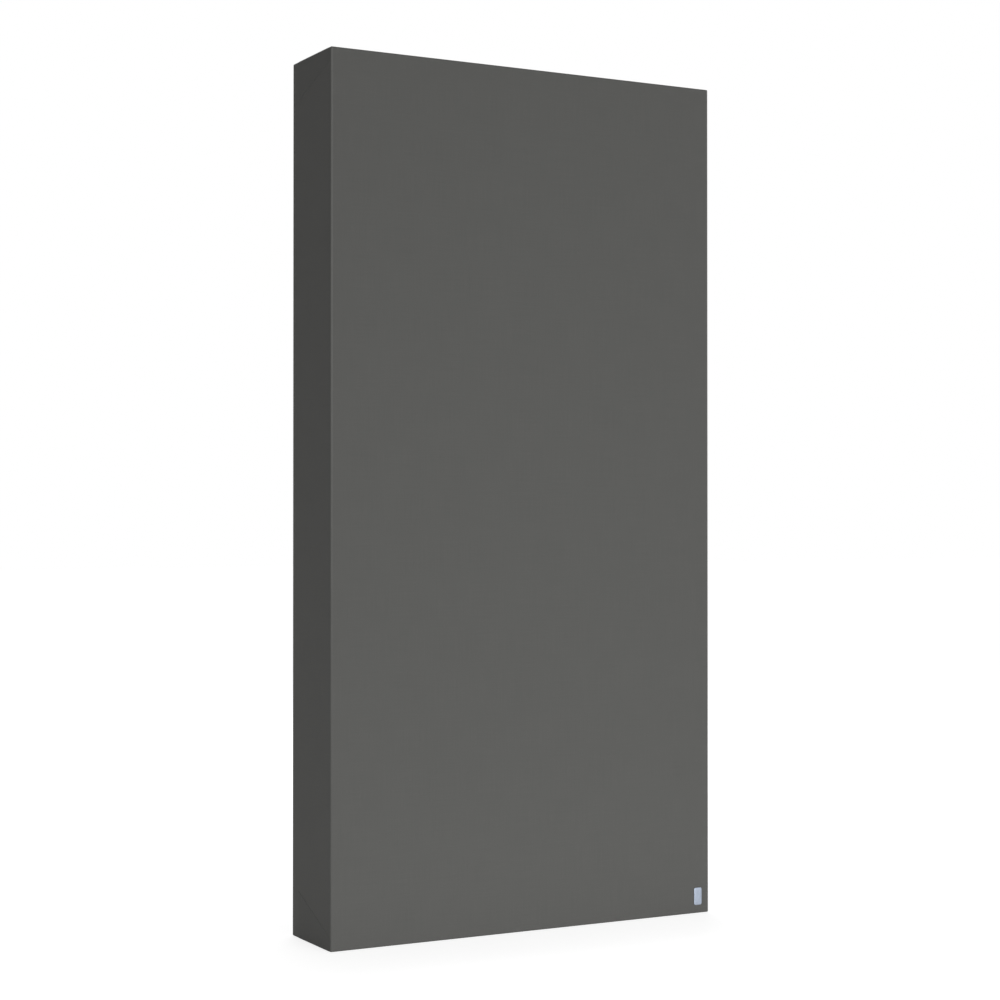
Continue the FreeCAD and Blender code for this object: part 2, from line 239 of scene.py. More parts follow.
def woven_material():
    """Height = the upper one of two crossing sets of half-round yarns.

    Along one axis a yarn's roundness is |sin(pi a)|, and the product sin(pi a) sin(pi b)
    changes sign from square to square, so it lifts the warp in one and the weft in the next.
    """
    made, tree = new_material(
        "dark_grey_plain_weave", Roughness=0.93, Specular_IOR_Level=0.25
    )
    cut = tree.node("ShaderNodeUVMap", {"uv_map": "flat_cut"})
    wander = cut.noise(60.0, detail=1.0) * 0.5
    across, along, _ = cut.parts()
    warp = (across / YARN_PITCH + wander) * math.pi
    weft = (along / YARN_PITCH + wander) * math.pi
    over = warp.sine() * weft.sine() * 0.9
    warp_height = abs(warp.sine()) ** 0.6 * (0.62 + over * 0.42)
    weft_height = abs(weft.sine()) ** 0.6 * (0.62 - over * 0.42)
    height = warp_height.at_least(weft_height)

    warp_slub = cut.stretched(1.0, 0.018, 0.0).noise(900.0, detail=1.0)
    weft_slub = cut.stretched(0.018, 1.0, 0.0).noise(900.0, detail=1.0)
    mottle = cut.noise(22.0, detail=3.0)
    folded = tree.node("ShaderNodeAttribute", {"attribute_name": "folded_over"}, None, 2)

    place = tree.node("ShaderNodeTexCoord", None, None, 3)
    x, y, z = place.parts()
    from_side = WIDTH / 2 - abs(x)
    from_end = z.at_most(HEIGHT - z)
    off_mitre = abs(from_side - from_end) / MITRE_WIDTH
    on_back = y.ease(HEM_FACE - 0.0012, HEM_FACE - 0.0006)
    # Painted shade: the mitre crease on the back is drawn much darker.
    mitre = (1.0 - off_mitre.ease(0.0, 1.0)) * on_back

    # Painted shade: the colour follows the weave's height, so yarn sides and the gaps between
    # yarns are drawn darker.
    shade = 0.30 + height * 0.52 + warp_slub * 0.10 + weft_slub * 0.10 + mottle * 0.05
    # Painted shade: the flaps of the corner folds are drawn a little darker.
    shade = shade * (1.0 - folded * 0.065) * (1.0 - mitre * 0.55)
    colour = shade.blend(tint(CLOTH_GREY, 0.30), tint(CLOTH_GREY, 1.28))

    # Painted highlight: a thin line beside the upright front edges is drawn lighter, most of all
    # high up and fading towards the foot.
    near_edge = 1.0 - from_side.ease(EDGE_HIGHLIGHT_WIDTH / 2, EDGE_HIGHLIGHT_WIDTH)
    painted_edge_highlight = near_edge * (1.0 - y.ease(FRONT + 0.0006, FRONT + 0.0016)) * z.ease(0.15, 0.90)
    colour = (painted_edge_highlight * 0.55).blend(colour, tint(CLOTH_GREY, 1.60))
    relief = (height - mitre * 1.5).relief(0.00018)
    finish_material(tree, Base_Color=colour, Normal=relief)
    return made


cover_cloth = woven_material()
print("cover cloth:", len(cover_cloth.node_tree.nodes), "nodes")

# %% [markdown]
# ## One line round the panel
# Seen from above, the cover is a rectangle with its corners bent round the frame. A bevelled
# cube would give that too, but its faces would be too large to fold. Here the line is worked
# out as a core point plus the bend radius times a direction, so the same two arrays also give
# the bend over the panel's ends: there the radius only has to shrink.


# %% The line and the grid
def line_round(across, depths, width, front, depth, bend):
    """A closed line round a box: four straight stretches and four quarter circles.

    point = core + bend * (cos angle, sin angle), where the core is a rectangle one bend
    smaller all round. It starts and ends in the middle of the back. distance is measured
    along the line, and depth back from the front.
    """
    corner = width / 2 - bend
    near, far = front + bend, front + depth - bend
    turn = np.linspace(0, 90, 5)[1:-1]
    turns, wide, deep = len(turn), len(across), len(depths)
    side_count, back_count = deep + 2 * turns, wide + 2 * turns
    y = front + depths
    core_x = np.concatenate(
        [across, np.full(side_count, corner), across[::-1], np.full(side_count, -corner)]
    )
    core_y = np.concatenate(
        [np.full(wide + turns, near), y, np.full(back_count, far), y[::-1], np.full(turns, near)]
    )
    angle = np.concatenate(
        [np.full(wide, -90.0), turn - 90, np.zeros(deep), turn]
        + [np.full(wide, 90.0), turn + 90, np.full(deep, 180.0), turn + 180]
    )
    seam = wide + side_count + wide // 2
    order = np.append(np.roll(np.arange(len(angle)), -seam), seam)
    core_x, core_y, angle = core_x[order], core_y[order], angle[order]
    lean_x, lean_y = np.cos(np.radians(angle)), np.sin(np.radians(angle))
    x, y = core_x + bend * lean_x, core_y + bend * lean_y
    steps = np.hypot(np.diff(x), np.diff(y))
    return {
        "core": np.stack([core_x, core_y]),
        "lean": np.stack([lean_x, lean_y]),
        "angle": angle,
        "depth": y - front,
        "distance": np.concatenate([[0.0], np.cumsum(steps)]),
        "corner": corner,
    }


def grid_faces(rows, columns):
    """The quads of a grid of points that is numbered row by row."""
    number = np.arange(rows * columns).reshape(rows, columns)
    corners = [number[:-1, :-1], number[:-1, 1:], number[1:, 1:], number[1:, :-1]]
    return np.stack(corners, axis=-1).reshape(-1, 4)


# %% From arrays to a piece
def make_piece(name, points, faces, finish, cut=None, folded=None):
    """Puts arrays into a mesh, closes its seams and lets it ride with the panel."""
    mesh = bpy.data.meshes.new(name)
    mesh.from_pydata(points.tolist(), [], faces.tolist())
    if cut is not None:
        layer = mesh.uv_layers.new(name="flat_cut")
        layer.data.foreach_set("uv", cut.astype(np.float32).ravel())
    if folded is not None:
        layer = mesh.attributes.new("folded_over", "FLOAT", "FACE")
        layer.data.foreach_set("value", folded.astype(np.float32))
    shell = bmesh.new()
    shell.from_mesh(mesh)
    bmesh.ops.remove_doubles(shell, verts=shell.verts, dist=1e-6)
    shell.to_mesh(mesh)
    shell.free()
    mesh.shade_smooth()
    mesh.materials.append(finish)
    piece = bpy.data.objects.new(name, mesh)
    bpy.context.scene.collection.objects.link(piece)
    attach(piece, "root")
    print(f"{name}: {len(mesh.polygons)} faces")
    return piece


# %% [markdown]
# ## The cover and its corner folds
# The cloth is wrapped round the long sides first. At each end the surplus is tucked, and a
# flap of doubled cloth comes down over the narrow side. In the photograph that flap has a
# slanted edge, which starts close to the end at the front and drops towards the back, and an
# upright edge near the back. The one at the foot is folded a little steeper than the one at
# the top. A flap could be a separate patch laid on the side, but it is the same cloth, so the
# rows of the grid follow the slanted edge and the surface steps out by one pressed layer
# there, with a rounded nose and a slight puff. Just behind the front edge the cloth is still
# pulled flat, so there the step grows from nothing.

# %% Rows and columns of the cover
FOLD_START, FOLD_DEPTH = 0.018, 0.1085
TOP_SLOPE, FOOT_SLOPE = 0.33, 0.43
LEVEL_FROM = 0.090
BESIDE_FOLD = 0.001 * np.array([-3, -1.8, -1.2, -0.8, -0.5, -0.25, -0.08, 0, 0.3, 1.2])

EDGE_STEPS = 0.001 * np.array([1.8, 3, 4.5, 6.3, 8, 10, 12, 14.5, 17.3, 20, 26, 32, 38])
middle_columns = np.linspace(HEM - WIDTH / 2, WIDTH / 2 - HEM, 24)[1:-1]
ACROSS = np.concatenate([EDGE_STEPS - WIDTH / 2, middle_columns, WIDTH / 2 - EDGE_STEPS[::-1]])
DEPTHS = np.concatenate(
    [
        0.001 * np.array([1.8, 3, 5, 7.5, 10, 13, 18, 27, 38, 50, 63, 76, 88, 98]),
        FOLD_DEPTH + BESIDE_FOLD,
        [0.113, 0.119, DEPTH - BEND],
    ]
)
cover_line = line_round(ACROSS, DEPTHS, WIDTH, FRONT, DEPTH, BEND)


def end_rows(depth, slope):
    """Distances from the panel's end, one row of the grid after another.

    Rows up to the slanted edge share out the distance to it, the next ones run beside it,
    and the last ones turn level again.
    """
    edge = (FOLD_START + slope * depth)[None, :]
    first, last = BESIDE_FOLD[0], BESIDE_FOLD[-1]
    hem_share = (HEM - BEND) / (FOLD_START + slope * DEPTH + first - BEND)
    share = np.array([0, 0.1, 0.22, 0.34, 0.44, hem_share, 0.72, 0.82, 0.92])[:, None]
    level = np.array([0.12, 0.3, 0.5, 0.75, 1.0])[:, None]
    return np.concatenate(
        [
            BEND + share * (edge + first - BEND),
            edge + BESIDE_FOLD[:, None],
            (edge + last) * (1 - level) + LEVEL_FROM * level,
        ]
    )


KEYHOLE_X = (hanger_low.x + hanger_high.x) / 2
KEYHOLE_Z = 1.080
OPENING_HALF, OPENING_LOW, OPENING_HIGH = 0.0055, KEYHOLE_Z - 0.0055, KEYHOLE_Z + 0.0155
foot_rows = end_rows(cover_line["depth"], FOOT_SLOPE)
top_rows = end_rows(cover_line["depth"], TOP_SLOPE)
level_rows = np.concatenate(
    [
        np.linspace(LEVEL_FROM, OPENING_LOW, 42)[1:],
        np.linspace(OPENING_LOW, OPENING_HIGH, 4)[1:],
    ]
)
level_rows = np.repeat(level_rows[:, None], foot_rows.shape[1], axis=1)
curls = np.radians([-90, -67.5, -45, -22.5])
curl_rows = np.repeat((BEND + BEND * np.sin(curls))[:, None], foot_rows.shape[1], axis=1)
top_end = HEIGHT - np.concatenate([curl_rows, top_rows])[::-1]
RISE = np.concatenate([curl_rows, foot_rows, level_rows, top_end])
CURL = np.concatenate([curls, np.zeros(len(RISE) - 2 * len(curls)), -curls[::-1]])
print("cover grid:", RISE.shape)


# %% The cover's surface
FOLD_LIFT, NOSE = 0.00048, 0.0013
PUFF, PUFF_PLACE, PUFF_WIDTH = 0.12, 0.0022, 0.0014
PULLED_FLAT, FULL_LIFT = 0.002, 0.014
SLACK = 0.00012


def fold_slope(z):
    """How steeply the slanted edge drops or climbs, at the top and at the foot."""
    return np.where(z < HEIGHT / 2, FOOT_SLOPE, TOP_SLOPE)


def inside_flap(depth, z):
    """How far a point lies inside the flap's nearer edge; negative outside the flap."""
    from_end = np.minimum(z, HEIGHT - z)
    return np.minimum(FOLD_START + fold_slope(z) * depth - from_end, FOLD_DEPTH - depth)


def flap_lift(depth, z):
    """The step outwards: a quarter circle over the nose, then 1, with a puff behind it."""
    inside = inside_flap(depth, z)
    nose = np.sqrt(1 - (1 - np.clip(inside / NOSE, 0, 1)) ** 2)
    puff = PUFF * np.exp(-(((inside - PUFF_PLACE) / PUFF_WIDTH) ** 2))
    grown = np.clip((depth - PULLED_FLAT) / (FULL_LIFT - PULLED_FLAT), 0, 1)
    return FOLD_LIFT * nose * (1 + puff) * grown**2 * (3 - 2 * grown)


def slack(x, from_front, z):
    """Where the cloth gives by some tenths of a millimetre: three crossing long waves."""
    waves = (
        np.sin(17 * x + 9 * z + 0.6) * np.sin(6.5 * z + 1.1)
        + 0.7 * np.sin(-23 * x + 13 * z + 2.0)
        + 0.5 * np.sin(60 * from_front + 11 * z + 4.0) * np.sin(19 * z)
    )
    return SLACK * waves


# A point = the line's core point, plus the bend radius times its direction, where the radius
# shrinks by the cosine of the curl over the panel's ends. To that come the flap's step, straight
# out of the narrow side, and the slack, along the same direction as the radius.
core_x, core_y = cover_line["core"]
lean_x, lean_y = cover_line["lean"]
reach = BEND * np.cos(CURL)[:, None]
x = core_x + reach * lean_x
y = core_y + reach * lean_y
depth = np.broadcast_to(cover_line["depth"], x.shape)
from_end = np.minimum(RISE, HEIGHT - RISE)

on_front = (cover_line["angle"] == -90) * (1 - (core_x / cover_line["corner"]) ** 2)
on_side = np.isin(cover_line["angle"], (0, 180)) * 4 * cover_line["depth"] / DEPTH
on_side = on_side * (1 - cover_line["depth"] / DEPTH)
give = slack(x, depth, RISE) * (on_front + on_side) * np.clip(from_end / 0.1, 0, 1) ** 2

turned = (np.abs(lean_y) < 1) | (np.abs(core_x) == cover_line["corner"])
step = flap_lift(depth, RISE) * turned * np.sign(core_x)
cover_points = np.stack([x + step + give * lean_x, y + give * lean_y, RISE], axis=-1)
print(f"folds stand out by {1000 * np.abs(step).max():.2f} mm")

# %% The cover's faces and openings
rows, columns = RISE.shape
wrap_faces = grid_faces(rows, columns)
flat_points = cover_points.reshape(-1, 3)
flat_depth = depth.reshape(-1)
corner_distance = np.broadcast_to(cover_line["distance"], (rows, columns)).reshape(-1)
middle = flat_points[wrap_faces].mean(axis=1)
middle_depth = flat_depth[wrap_faces].mean(axis=1)
middle_z = middle[:, 2]

on_back = middle[:, 1] > HEM_FACE - 0.0001
in_window = (np.abs(middle[:, 0]) < WIDTH / 2 - HEM) & (
    np.minimum(middle_z, HEIGHT - middle_z) > HEM
)
behind_keyhole = (np.abs(np.abs(middle[:, 0]) - abs(KEYHOLE_X)) < OPENING_HALF) & (
    np.abs(middle_z - (OPENING_LOW + OPENING_HIGH) / 2) < (OPENING_HIGH - OPENING_LOW) / 2
)
kept = ~(on_back & (in_window | behind_keyhole))
print("faces round the panel:", kept.sum(), "of", len(kept), "are kept")

# %% The cover's flat cut
# In a flap the cloth is turned over, so its cut is mirrored at the slanted edge: with v from
# the edge's start and s along the edge, the mirrored place is 2 (v . s) s - v.
is_flap = inside_flap(middle_depth, middle_z) > 0
is_flap &= np.abs(middle[:, 0]) > WIDTH / 2 - BEND

plain_cut = np.stack([corner_distance, flat_points[:, 2]], axis=-1)[wrap_faces]
slant = np.stack([np.ones_like(middle_z), fold_slope(middle_z)], axis=-1)[:, None, :]
slant = slant / np.linalg.norm(slant, axis=-1, keepdims=True)
beside_edge = np.stack([flat_depth, from_end.reshape(-1) - FOLD_START], axis=-1)[wrap_faces]
turned_cut = 2 * (beside_edge * slant).sum(axis=-1, keepdims=True) * slant - beside_edge
wrap_cut = np.where(is_flap[:, None, None], turned_cut, plain_cut)
print("faces in the flaps:", is_flap.sum())

# %% The cover's ends, and the whole cover
# Each end is a flat grid of the same columns and depths, and its edge takes the flap's step.
COVER_THICKNESS = 0.0007
end_x, end_depth = np.meshgrid(ACROSS, DEPTHS)
is_edge = np.abs(end_x) == cover_line["corner"]
end_x = end_x + flap_lift(end_depth, 0.0) * is_edge * np.sign(end_x)
end_faces = grid_faces(*end_x.shape)
bottom = np.stack([end_x, FRONT + end_depth, np.zeros_like(end_x)], axis=-1).reshape(-1, 3)
top = bottom + [0, 0, HEIGHT]
bottom_cut = (bottom[:, :2] * [1, -1])[end_faces[:, ::-1]]
top_cut = (top[:, :2] + [0, HEIGHT])[end_faces]

count = len(flat_points)
cover_faces = np.concatenate(
    [wrap_faces[kept], end_faces[:, ::-1] + count, end_faces + count + len(bottom)]
)
flat_cut = np.concatenate([wrap_cut[kept], bottom_cut, top_cut])
folded = np.concatenate([is_flap[kept], np.zeros(2 * len(end_faces))])
cover = make_piece(
    "wrapped_cover",
    np.concatenate([flat_points, bottom, top]),
    cover_faces,
    cover_cloth,
    flat_cut,
    folded,
)
cover_body = cover.modifiers.new("cloth thickness", "SOLIDIFY")
cover_body.thickness = COVER_THICKNESS
cover_body.offset = -1
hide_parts("cloth_cover")
TIMBERS = ["frame_left_stile", "frame_right_stile", "frame_bottom_rail", "frame_top_rail"]

# %% [markdown]
# ## The mineral-wool filling
# Inside are slabs of mineral wool, cut a little full so that they hold in the frame. Nobody
# sees them in a finished panel, but a buyer who opens the model does. The same line round a
# box gives their shape. Two slabs lie one behind the other, so a joint runs round the edges,
# and the cut faces are slightly uneven.


# %% Mineral wool's finish
def wool_material():
    """Long tangled fibres: noise stretched one way, crossed with noise stretched the other."""
    made, tree = new_material("mineral_wool", Roughness=0.97, Specular_IOR_Level=0.15)
    place = tree.node("ShaderNodeTexCoord", None, None, 3)
    level_fibres = place.stretched(0.2, 1.0, 1.6).noise(900.0, detail=3.0, roughness=0.7)
    cross_fibres = place.stretched(1.3, 1.0, 0.25).noise(700.0, detail=3.0, roughness=0.7)
    clumps = place.noise(45.0, detail=4.0)
    fibres = level_fibres.at_least(cross_fibres)
    shade = fibres * 0.75 + clumps * 0.35
    colour = shade.blend((0.20, 0.175, 0.085, 1), (0.50, 0.47, 0.29, 1))
    finish_material(tree, Base_Color=colour, Normal=(fibres + clumps * 0.6).relief(0.0012))
    return made


wool_finish = wool_material()
print("mineral wool:", len(wool_finish.node_tree.nodes), "nodes")

# %% Mineral wool's surface
WOOL_BEND = 0.003
JOINT_WIDTH, JOINT_DEPTH, UNEVEN = 0.003, 0.0012, 0.0002
wool_low, wool_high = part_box("absorber_core")
wool_width, wool_depth, wool_height = wool_high - wool_low


def spread(size, edge, step):
    """Steps across a size: the bend's own line at each end, and even steps between."""
    return np.linspace(edge, size - edge, max(2, round(size / step)))


wool_across = spread(wool_width, WOOL_BEND, 0.02) - wool_width / 2
wool_depths = spread(wool_depth, WOOL_BEND, 0.0045)
wool_line = line_round(
    wool_across, wool_depths, wool_width, wool_low.y, wool_depth, WOOL_BEND
)
wool_curl = np.radians([-90, -60, -30])
wool_rise = np.concatenate(
    [
        WOOL_BEND + WOOL_BEND * np.sin(wool_curl),
        spread(wool_height, WOOL_BEND, 0.02),
        wool_height - (WOOL_BEND + WOOL_BEND * np.sin(wool_curl))[::-1],
    ]
)[:, None]
wool_flat = np.zeros(len(wool_rise) - 2 * len(wool_curl))
wool_curl = np.concatenate([wool_curl, wool_flat, -wool_curl[::-1]])[:, None]

# The reach from the core = the bend radius, less a bell-shaped groove at the joint, less a
# slanted wave, all times the cosine of the curl. The wave runs a whole number of times round
# the line, so its ends meet.
from_joint = (wool_line["depth"] - wool_depth / 2) / JOINT_WIDTH
joint = JOINT_DEPTH * np.exp(-(from_joint**2))
way_round = 2 * np.pi * wool_line["distance"] / wool_line["distance"][-1]
uneven = UNEVEN * (1 + np.sin(61 * wool_rise + 20 * way_round))
wool_reach = (WOOL_BEND - joint - uneven) * np.cos(wool_curl)
wool_side = np.stack(
    [
        wool_line["core"][0] + wool_reach * wool_line["lean"][0],
        wool_line["core"][1] + wool_reach * wool_line["lean"][1],
        wool_low.z + np.broadcast_to(wool_rise, wool_reach.shape),
    ],
    axis=-1,
)
lid_x, lid_y = np.meshgrid(wool_across, wool_low.y + wool_depths)
lid = np.stack([lid_x, lid_y, np.full_like(lid_x, wool_low.z)], axis=-1).reshape(-1, 3)
lid_faces = grid_faces(*lid_x.shape)
side_count = wool_side.shape[0] * wool_side.shape[1]
wool = make_piece(
    "mineral_wool_filling",
    np.concatenate([wool_side.reshape(-1, 3), lid, lid + [0, 0, wool_height]]),
    np.concatenate(
        [
            grid_faces(*wool_side.shape[:2]),
            lid_faces[:, ::-1] + side_count,
            lid_faces + side_count + len(lid),
        ]
    ),
    wool_finish,
)
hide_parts("absorber_core")

# %% [markdown]
# ## The cloth on the back
# A thin black non-woven cloth hides the raw hem. It is laid on with a small margin, notched
# round the hangers and stapled. A flat plane would do from afar. The real one dips where the
# hem ends under it, bows in a little between the staples and has a few slack waves, so its
# grid has lines at the hem, and its edge moves in at the notches.

# %% Back cloth's finish
DIAMOND = 0.0011


def spunbond_material():
    """Rows of pressed diamonds over fine fibres that run every way."""
    made, tree = new_material("black_non_woven", Roughness=0.85, Specular_IOR_Level=0.35)
    place = tree.node("ShaderNodeTexCoord", None, None, 3)
    x, _, z = place.parts()
    dots = ((x + z) * (math.pi / DIAMOND)).sine() * ((x - z) * (math.pi / DIAMOND)).sine()
    pressed = dots.ease(0.25, 0.75)
    fibres = place.stretched(1.0, 1.0, 0.3).noise(2200.0, detail=2.0)
    tufts = place.noise(120.0, detail=4.0, roughness=0.7)
    shade = fibres * 0.55 + tufts * 0.45 - pressed * 0.25
    colour = shade.blend((0.009, 0.009, 0.010, 1), (0.045, 0.045, 0.047, 1))
    height = fibres * 0.4 + tufts * 0.3 - pressed * 0.6
    finish_material(tree, Base_Color=colour, Normal=height.relief(0.00015))
    return made


back_finish = spunbond_material()
print("back cloth:", len(back_finish.node_tree.nodes), "nodes")

# %% Rows and columns of the back cloth
MARGIN = 0.012
BACK_CLOTH, BACK_THICKNESS = 0.0005, 0.0004
NOTCH = (hanger_high.x - hanger_low.x) / 2 + 0.0025
NOTCH_LOW = hanger_low.z + (hanger_high.x - hanger_low.x) / 2
NOTCH_HIGH = hanger_high.z - (hanger_high.x - hanger_low.x) / 2
edge_lines = 0.001 * np.array([0, 2, 5, 9, 14, 20, 24, 26, 28, 32, 40])
edge_zone = edge_lines[-1]
back_width = WIDTH - 2 * MARGIN
back_across = np.concatenate(
    [
        edge_lines,
        np.linspace(edge_zone, back_width - edge_zone, 42)[1:-1],
        back_width - edge_lines[::-1],
    ]
)
quarter = np.sin(np.radians(np.linspace(0, 90, 9)))
back_rise = np.concatenate(
    [
        MARGIN + edge_lines,
        np.linspace(MARGIN + edge_zone, NOTCH_LOW - NOTCH - 0.004, 82)[1:],
        NOTCH_LOW - NOTCH * quarter[::-1],
        np.linspace(NOTCH_LOW, NOTCH_HIGH, 6)[1:-1],
        NOTCH_HIGH + NOTCH * quarter,
        [NOTCH_HIGH + NOTCH + 0.006, NOTCH_HIGH + NOTCH + 0.018],
        HEIGHT - MARGIN - edge_lines[::-1],
    ]
)
lay_x, lay_z = np.meshgrid(back_across, back_rise)
print("back cloth grid:", lay_x.shape)

# %% The back cloth's surface
# The edge moves inwards by the outline of a long rounded notch at each hanger, and by a cosine
# between two staples, and both fade towards the middle. Over the hem y is flat. At the hem's
# end it drops by the dip, in a smooth S, and by the product of two slow waves.
STAPLE_PITCH, END_PITCH = 0.052, 0.051
FIRST_STAPLE = 0.034
NOTCH_FADE = 0.040
BOW = 0.0003
DIP_FROM, DIP_WIDTH, DIP, BACK_SLACK = 0.025, 0.004, 0.00055, 0.00012

from_edge = np.minimum(lay_x, back_width - lay_x)
past = np.maximum(np.maximum(NOTCH_LOW - lay_z, lay_z - NOTCH_HIGH), 0)
notch_depth = np.sqrt(np.clip(NOTCH**2 - past**2, 0, None))
side = np.sign(back_width / 2 - lay_x)
fade = np.clip(1 - from_edge / NOTCH_FADE, 0, 1) ** 2
bow_side = BOW * (1 - np.cos(2 * np.pi * (lay_z - FIRST_STAPLE) / STAPLE_PITCH)) * fade
shift = side * (notch_depth + bow_side) * np.where(notch_depth > 0, fade, 1)
from_level = np.minimum(lay_z - MARGIN, HEIGHT - MARGIN - lay_z)
level_fade = np.clip(1 - from_level / NOTCH_FADE, 0, 1) ** 2
from_middle = lay_x - back_width / 2
bow_end = BOW * (1 - np.cos(2 * np.pi * from_middle / END_PITCH)) * level_fade
bow_end = bow_end * np.where(lay_z < HEIGHT / 2, 1, -1)
inside_hem = np.clip((np.minimum(from_edge, from_level) - DIP_FROM) / DIP_WIDTH, 0, 1)
inside_hem = inside_hem**2 * (3 - 2 * inside_hem)
slack_waves = np.sin(31 * lay_x + 12 * lay_z) * np.sin(8 * lay_z + 3 * lay_x)
back_y = HEM_FACE + BACK_CLOTH - inside_hem * (DIP + BACK_SLACK * slack_waves)
back_points = np.stack(
    [lay_x + shift - back_width / 2, back_y, lay_z + bow_end], axis=-1
).reshape(-1, 3)
back = make_piece(
    "back_cover_cloth",
    back_points,
    grid_faces(*lay_x.shape)[:, ::-1],
    back_finish,
)
back_body = back.modifiers.new("cloth thickness", "SOLIDIFY")
back_body.thickness = BACK_THICKNESS
back_body.offset = -1
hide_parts("back_cloth")

# %% [markdown]
# ## Staples round the back
# An upholsterer's stapler shoots flat wire with an eleven-millimetre crown. One staple is a
# four-sided wire carried along a path of six points. All the others are that array again,
# moved and turned a little by hand's error, in one mesh.


# %% Metal finishes
def metal_material(name, colour, roughness, grain):
    """Plated steel: a cloudy roughness and very fine scratches along one axis."""
    made, tree = new_material(name, Metallic=1.0)
    place = tree.node("ShaderNodeTexCoord", None, None, 3)
    clouds = place.noise(350.0, detail=3.0)
    scratches = place.stretched(*grain).noise(4000.0, detail=2.0)
    bright = clouds * 0.6 + scratches * 0.4
    finish_material(
        tree,
        Base_Color=bright.blend(tint(colour, 0.72), tint(colour, 1.15)),
        Roughness=roughness - 0.09 + bright * 0.18,
        Normal=scratches.relief(0.00001),
    )
    return made


staple_steel = metal_material("galvanised_wire", (0.60, 0.60, 0.59), 0.38, (1.0, 1.0, 1.0))
print("galvanised wire:", len(staple_steel.node_tree.nodes), "nodes")

# %% One staple
# A ring's four points = a point of the path, half the wire's thickness to either side along
# the outward direction there, and half its width to either side across.
wire_path = 0.001 * np.array(
    [[-5.5, -2.4], [-5.5, -0.1], [-5.2, 0.2], [5.2, 0.2], [5.5, -0.1], [5.5, -2.4]]
)
outward = np.array([[-1, 0], [-1, 0], [-0.8, 0.8], [0.8, 0.8], [1, 0], [1, 0]])
ring = 0.001 * np.array([[0.3, 0.5], [0.3, -0.5], [-0.3, -0.5], [-0.3, 0.5]])
in_plane = wire_path[:, None, :] + outward[:, None, :] * ring[None, :, :1]
across_wire = np.broadcast_to(ring[None, :, 1], in_plane.shape[:2])
staple = np.stack([in_plane[..., 0], in_plane[..., 1], across_wire], axis=-1).reshape(-1, 3)
number = np.arange(len(staple)).reshape(len(wire_path), len(ring))
wire_ends = [number[0], number[-1, ::-1]]
number = np.concatenate([number, number[:, :1]], axis=1)
staple_faces = np.stack(
    [number[:-1, :-1], number[1:, :-1], number[1:, 1:], number[:-1, 1:]], axis=-1
).reshape(-1, 4)
staple_faces = np.concatenate([staple_faces, wire_ends])

print("one staple:", len(staple_faces), "faces")


# %% All staples
def in_line(x, z, degrees):
    """A row of staples as x, z and turn, from one array and two plain numbers."""
    return np.stack(np.broadcast_arrays(x, z, degrees), axis=-1)


def repeated(faces, points, copies):
    """The faces of many copies of a shape: each copy's numbers start where the last end."""
    starts = len(points) * np.arange(copies)[:, None, None]
    return (faces[None] + starts).reshape(-1, 4)


STAPLE_LINE, LAST_STAPLE, HANGER_CLEAR = 0.017, HEIGHT - 0.030, 0.010
HAND_ERROR = (0.0008, 0.0015, 4.0)
up_side = np.arange(FIRST_STAPLE, LAST_STAPLE, STAPLE_PITCH)
below_hanger = up_side < hanger_low.z - HANGER_CLEAR
up_side = up_side[below_hanger | (up_side > hanger_high.z + HANGER_CLEAR)]
along_end = np.arange(-5, 6) * END_PITCH
side_x = WIDTH / 2 - STAPLE_LINE
places = np.concatenate(
    [
        in_line(-side_x, up_side, 90.0),
        in_line(side_x, up_side, 90.0),
        in_line(along_end, STAPLE_LINE, 0.0),
        in_line(along_end, HEIGHT - STAPLE_LINE, 0.0),
    ]
)
hand = np.random.default_rng(7).uniform(-1, 1, places.shape)
places = places + hand * HAND_ERROR
turn = np.radians(places[:, 2])[:, None]
staple_x = places[:, :1] + staple[:, 0] * np.cos(turn) - staple[:, 2] * np.sin(turn)
staple_z = places[:, 1:2] + staple[:, 0] * np.sin(turn) + staple[:, 2] * np.cos(turn)
staple_y = np.broadcast_to(HEM_FACE + BACK_CLOTH + staple[:, 1], staple_x.shape)
staples = make_piece(
    "back_staples",
    np.stack([staple_x, staple_y, staple_z], axis=-1).reshape(-1, 3),
    repeated(staple_faces, staple, len(places)),
    staple_steel,
)
staples.data.shade_flat()
print(len(places), "staples")

# %% [markdown]
# ## The hangers and their screws
# The keyhole hangers keep their exact CAD shape, because a screw has to fit them. They are
# pressed from zinc-plated strip. Each is held by two countersunk screws, whose heads are polar
# grids: radius by angle, with a cross sunk into the middle.

# %% Hangers
hanger_steel = metal_material("zinc_plated_strip", (0.62, 0.63, 0.64), 0.36, (1.0, 1.0, 0.06))
for name in ("hanger_left", "hanger_right"):
    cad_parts[name].data.materials.clear()
    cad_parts[name].data.materials.append(hanger_steel)

print("hangers:", len(hanger_steel.node_tree.nodes), "nodes")

# %% Screws
# The height of a head = a dome that falls with the square of the radius, less a cross. The
# cross is cut in near either axis, deepest in the middle, and its depth goes with the square
# root of what is left of its reach. The last rings turn under the head.
screw_steel = metal_material("screw_zinc", (0.58, 0.58, 0.57), 0.30, (1.0, 1.0, 1.0))
HEAD_RADIUS, DOME = 0.00345, 0.00012
ARM_HALF, ARM_EASE, CROSS_REACH, CROSS_DEPTH = 0.00062, 0.0003, 0.0021, 0.0013
ring_radius = 0.001 * np.array(
    [0, 0.25, 0.5, 0.75, 1.0, 1.3, 1.6, 1.9, 2.2, 2.7, 3.2, 3.4, 3.45, 1.9, 0]
)
spoke = np.radians(np.linspace(0, 360, 49))
radius, angle = np.meshgrid(ring_radius, spoke, indexing="ij")
head_x, head_z = radius * np.cos(angle), radius * np.sin(angle)
arm = np.clip((ARM_HALF - np.minimum(np.abs(head_x), np.abs(head_z))) / ARM_EASE, 0, 1)
